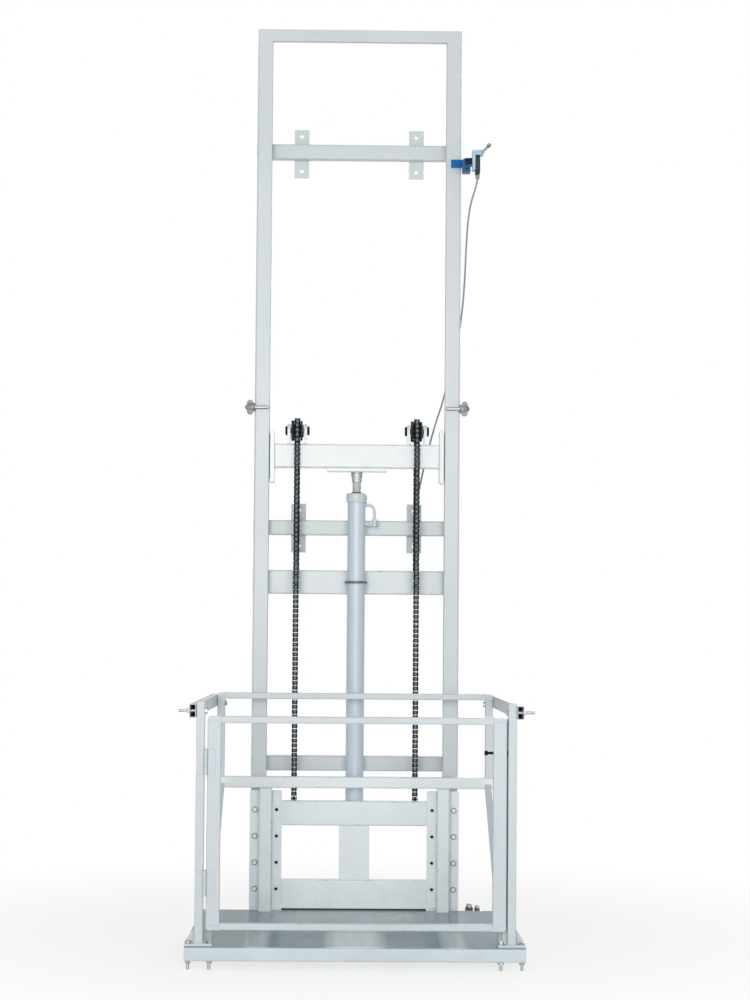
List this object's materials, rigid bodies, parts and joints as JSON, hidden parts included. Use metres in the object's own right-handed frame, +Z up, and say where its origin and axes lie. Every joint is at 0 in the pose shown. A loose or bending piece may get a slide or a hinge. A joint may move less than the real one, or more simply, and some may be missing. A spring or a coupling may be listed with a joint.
{
  "type": "hydraulic freight lift",
  "caption": "Hydraulic freight lift: tall railed mast tied to a wall, a central ram that lifts a yoke with chain sprockets, and an open platform with guard rails and a swinging gate.",
  "frame": {"origin": "on the underside of the base plate, midway between the rails and in the plane of their centre lines", "axes": "+X to the right as seen from the gate, +Y back to the wall, +Z up along the rails"},
  "size_m": [1.0522, 1.0193, 3.01],
  "materials": {
    "frame_paint": "light grey powder coat, satin",
    "barrel_paint": "light grey enamel",
    "floor_paint": "grey floor coating, semi-gloss",
    "zinc": "bright zinc plate",
    "rod_chrome": "hard chrome, polished",
    "socket_steel": "turned steel",
    "chain_steel": "oiled dark steel",
    "sprocket_steel": "blackened steel",
    "black_steel": "black oxide",
    "nylon": "natural nylon",
    "blue_paint": "bright blue paint",
    "switch_coating": "dark blue paint",
    "pale_plate": "plain sheet",
    "switch_case": "moulded case",
    "roller_plastic": "moulded roller",
    "cable_sheath": "smooth pale grey sheath",
    "black_rubber": "moulded rubber"
  },
  "bodies": {
    "mast": {"lower_rails": "frame_paint", "upper_rails": "frame_paint", "top_bar": "frame_paint", "crossbars": "frame_paint", "cylinder_beam": "frame_paint", "base_plate": "frame_paint", "wall_plates": "frame_paint", "joint_clamps": "zinc", "cylinder_foot": "frame_paint", "cylinder_barrel": "barrel_paint", "cylinder_gland": "frame_paint", "cylinder_clamp": "zinc", "return_pipe": "frame_paint", "supply_line": "zinc", "rear_chain_lugs": "frame_paint", "chain_rear_left": "chain_steel", "chain_rear_right": "chain_steel", "switch_bracket": "blue_paint", "switch_blocks": "switch_coating", "switch_plate": "pale_plate", "switch_body": "switch_case", "cable_fittings": "black_rubber", "switch_cable": "cable_sheath"},
    "yoke": {"yoke_beam": "frame_paint", "yoke_shoes": "frame_paint", "yoke_guides": "nylon", "sprocket_ears": "frame_paint", "sprocket_axles": "black_steel", "thrust_plate": "frame_paint", "rod_socket": "socket_steel", "piston_rod": "rod_chrome", "chain_over_left": "chain_steel", "chain_over_right": "chain_steel", "chain_front_left": "chain_steel", "chain_front_right": "chain_steel"},
    "platform": {"carriage_beams": "frame_paint", "carriage_sides": "frame_paint", "carriage_guides": "nylon", "carriage_bolts": "zinc", "slide_plates": "frame_paint", "front_chain_lugs": "frame_paint", "back_frame": "frame_paint", "back_guard": "frame_paint", "platform_frame": "frame_paint", "floor_sheet": "floor_paint", "side_stays": "frame_paint", "front_posts": "frame_paint", "foot_bolts": "zinc", "side_bars": "frame_paint", "side_bar_bolts": "zinc", "hinge_post_leaves": "zinc", "hinge_pins": "zinc"},
    "gate": {"gate_stiles": "frame_paint", "gate_rails": "frame_paint", "hinge_gate_leaves": "zinc"},
    "latch": {"latch_bolt": "black_steel"},
    "sprocket_left": {"sprocket_left": "sprocket_steel"},
    "sprocket_right": {"sprocket_right": "sprocket_steel"},
    "switch_lever": {"switch_lever": "zinc"},
    "switch_roller": {"switch_roller": "roller_plastic"}
  },
  "joints": [
    {"name": "yoke_lift", "type": "slide", "parent": "mast", "child": "yoke", "axis": [0, 0, 1], "range_m": [0, 0.90487], "deforming": ["chain_rear_left", "chain_rear_right", "chain_over_left", "chain_over_right"]},
    {"name": "platform_lift", "type": "slide", "parent": "yoke", "child": "platform", "axis": [0, 0, 1], "range_m": [0, 0.90487], "deforming": ["chain_front_left", "chain_front_right"]},
    {"name": "sprocket_left_spin", "type": "hinge", "parent": "yoke", "child": "sprocket_left", "pos_m": [-0.2, -0.02167, 1.651], "axis": [-1, 0, 0], "continuous": true},
    {"name": "sprocket_right_spin", "type": "hinge", "parent": "yoke", "child": "sprocket_right", "pos_m": [0.2, -0.02167, 1.651], "axis": [-1, 0, 0], "continuous": true},
    {"name": "gate_swing", "type": "hinge", "parent": "platform", "child": "gate", "pos_m": [-0.4425, -0.90334, 0.4285], "axis": [0, 0, -1], "range_deg": [0, 100]},
    {"name": "latch_pull", "type": "slide", "parent": "gate", "child": "latch", "axis": [-1, 0, 0], "range_m": [0, 0.017], "stiffness_N_per_m": 300},
    {"name": "switch_lever_tilt", "type": "hinge", "parent": "mast", "child": "switch_lever", "pos_m": [0.409, -0.11784, 2.57875], "axis": [0, -1, 0], "range_deg": [0, 45], "stiffness_Nm_per_rad": 0.4},
    {"name": "switch_roller_spin", "type": "hinge", "parent": "switch_lever", "child": "switch_roller", "pos_m": [0.4305, -0.12784, 2.6], "axis": [0, -1, 0], "continuous": true}
  ],
  "couplings": [
    {"joint": "platform_lift", "follows": "yoke_lift", "ratio": 1},
    {"joint": "sprocket_left_spin", "follows": "yoke_lift", "rad_per_m": 28.271},
    {"joint": "sprocket_right_spin", "follows": "yoke_lift", "rad_per_m": 28.271}
  ]
}
